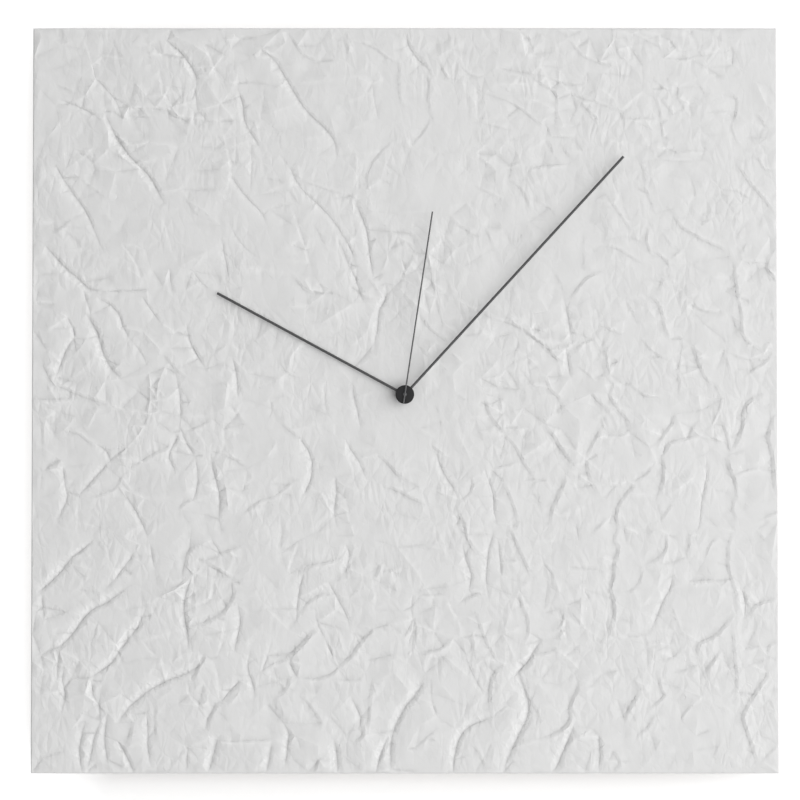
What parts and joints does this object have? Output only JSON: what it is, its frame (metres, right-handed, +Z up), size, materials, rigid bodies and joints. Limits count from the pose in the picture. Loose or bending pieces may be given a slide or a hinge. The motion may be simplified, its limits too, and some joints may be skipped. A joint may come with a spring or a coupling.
{
  "type": "wall clock",
  "caption": "Square wall clock with a crumpled paper face, straight rod hands, and a battery quartz movement behind a board on a wooden frame.",
  "frame": {"origin": "the point on the wall plane where the upper end of the hanger plate's slot rests on the wall screw", "axes": "+Z up, -Y out of the wall towards the viewer, +X to the viewer's right; the wall is the plane y = 0"},
  "size_m": [0.4, 0.0446, 0.4],
  "materials": {
    "paper": "crumpled white paper, lightly lacquered",
    "fibreboard": "raw medium-density fibreboard",
    "pine": "planed pine",
    "zinc": "zinc plated",
    "rubber_pad": "matt black",
    "hand_paint": "dark grey satin paint on aluminium",
    "black_plastic": "moulded, fine texture",
    "white_plastic": "moulded acetal",
    "steel": "bright",
    "brass": "turned",
    "copper": "enamelled copper wire",
    "magnet": "sintered",
    "circuit": "solder mask",
    "battery_sleeve": "plain printed sleeve"
  },
  "bodies": {
    "clock_body": {"face_skin": "paper", "dial_board": "fibreboard", "batten_top": "pine", "batten_bottom": "pine", "batten_left": "pine", "batten_right": "pine", "frame_screw_1": "zinc", "frame_screw_2": "zinc", "frame_screw_3": "zinc", "frame_screw_4": "zinc", "frame_screw_5": "zinc", "frame_screw_6": "zinc", "frame_screw_7": "zinc", "frame_screw_8": "zinc", "wall_bumper_1": "rubber_pad", "wall_bumper_2": "rubber_pad", "wall_bumper_3": "rubber_pad", "wall_bumper_4": "rubber_pad", "hanger_plate": "zinc", "hanger_screw_left": "zinc", "hanger_screw_right": "zinc", "movement_case": "black_plastic", "movement_cover": "black_plastic", "movement_screw_left": "zinc", "movement_screw_right": "zinc", "middle_plate": "white_plastic", "motor_stator": "steel", "coil_core": "steel", "coil_bobbin": "white_plastic", "coil_winding": "copper", "circuit_board": "circuit", "clock_chip": "black_plastic", "quartz_crystal": "steel", "battery_cell": "battery_sleeve", "contact_plus": "steel", "contact_minus": "steel"},
    "second_group": {"second_wheel": "white_plastic", "second_hand": "hand_paint"},
    "rotor_group": {"rotor_pinion": "steel", "rotor_magnet": "magnet"},
    "fifth_group": {"fifth_wheel": "white_plastic"},
    "third_group": {"third_wheel": "white_plastic"},
    "minute_group": {"centre_wheel": "brass", "minute_pipe": "brass", "minute_hand": "hand_paint", "hub_cap": "hand_paint"},
    "minute_work_group": {"minute_work_wheel": "white_plastic"},
    "hour_group": {"hour_wheel": "white_plastic", "hour_hand": "hand_paint"},
    "knob_group": {"set_knob": "white_plastic"}
  },
  "joints": [
    {"name": "second_hand_turn", "type": "hinge", "parent": "clock_body", "child": "second_group", "pos_m": [0, -0.02, -0.1611], "axis": [0, 1, 0], "continuous": true},
    {"name": "rotor_turn", "type": "hinge", "parent": "clock_body", "child": "rotor_group", "pos_m": [0.01001, -0.02, -0.14741], "axis": [0, 1, 0], "continuous": true},
    {"name": "fifth_wheel_turn", "type": "hinge", "parent": "clock_body", "child": "fifth_group", "pos_m": [0.00724, -0.02, -0.15503], "axis": [0, 1, 0], "continuous": true},
    {"name": "third_wheel_turn", "type": "hinge", "parent": "clock_body", "child": "third_group", "pos_m": [-0.01108, -0.02, -0.15813], "axis": [0, 1, 0], "continuous": true},
    {"name": "minute_hand_turn", "type": "hinge", "parent": "clock_body", "child": "minute_group", "pos_m": [0, -0.02, -0.1611], "axis": [0, 1, 0], "continuous": true},
    {"name": "minute_work_turn", "type": "hinge", "parent": "clock_body", "child": "minute_work_group", "pos_m": [0.00985, -0.02, -0.16284], "axis": [0, 1, 0], "continuous": true},
    {"name": "hour_hand_turn", "type": "hinge", "parent": "clock_body", "child": "hour_group", "pos_m": [0, -0.02, -0.1611], "axis": [0, 1, 0], "continuous": true},
    {"name": "set_knob_turn", "type": "hinge", "parent": "clock_body", "child": "knob_group", "pos_m": [0.01891, -0.02, -0.16706], "axis": [0, 1, 0], "continuous": true}
  ],
  "couplings": [
    {"joint": "rotor_turn", "follows": "second_hand_turn", "ratio": 30},
    {"joint": "fifth_wheel_turn", "follows": "second_hand_turn", "ratio": -6},
    {"joint": "third_wheel_turn", "follows": "second_hand_turn", "ratio": -0.13333},
    {"joint": "minute_hand_turn", "follows": "second_hand_turn", "ratio": 0.016667},
    {"joint": "minute_work_turn", "follows": "second_hand_turn", "ratio": -0.0055556},
    {"joint": "hour_hand_turn", "follows": "second_hand_turn", "ratio": 0.0013889},
    {"joint": "set_knob_turn", "follows": "second_hand_turn", "ratio": 0.016667}
  ]
}
